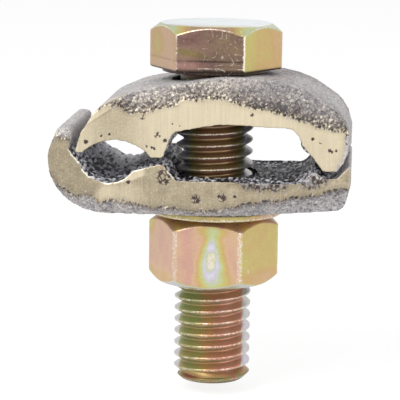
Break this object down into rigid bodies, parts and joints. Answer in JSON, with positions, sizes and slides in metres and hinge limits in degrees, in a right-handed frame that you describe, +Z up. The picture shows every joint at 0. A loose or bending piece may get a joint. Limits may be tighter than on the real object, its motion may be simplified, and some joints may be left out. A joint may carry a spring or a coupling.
{
  "type": "cable to plate ground connector",
  "caption": "Cast two-piece clamp that bolts a cable to a flat plate: hooked base and crowned cap drawn together by a hex bolt, nut and thin washer.",
  "frame": {"origin": "on the bolt's axis, in the flat underside of the base, where the connector seats on its plate", "axes": "+X across the cable from the hook to the right foot, +Y along the cable away from the front face, +Z up along the bolt to its head"},
  "size_m": [0.0483, 0.0246, 0.0591],
  "materials": {
    "cast_bronze": "sand cast, grey skin, front and back faces ground bare",
    "yellow_zinc_steel": "yellow chromate zinc plate"
  },
  "bodies": {
    "base": {"clamp_base": "cast_bronze", "flat_washer": "yellow_zinc_steel"},
    "nut": {"hex_nut": "yellow_zinc_steel"},
    "bolt": {"hex_bolt": "yellow_zinc_steel"},
    "cap": {"clamp_cap": "cast_bronze"}
  },
  "joints": [
    {"name": "bolt_lift", "type": "slide", "parent": "base", "child": "bolt", "axis": [0, 0, 1], "range_m": [0, 0.01563]},
    {"name": "nut_turn", "type": "hinge", "parent": "base", "child": "nut", "pos_m": [0, 0, -0.0067], "axis": [0, 0, -1], "range_deg": [0, 2880]},
    {"name": "cap_lift", "type": "slide", "parent": "base", "child": "cap", "axis": [0, 0, 1], "range_m": [0, 0.01563]}
  ],
  "couplings": [
    {"joint": "nut_turn", "follows": "bolt_lift", "rad_per_m": 3215.8},
    {"joint": "cap_lift", "follows": "bolt_lift", "ratio": 1}
  ]
}
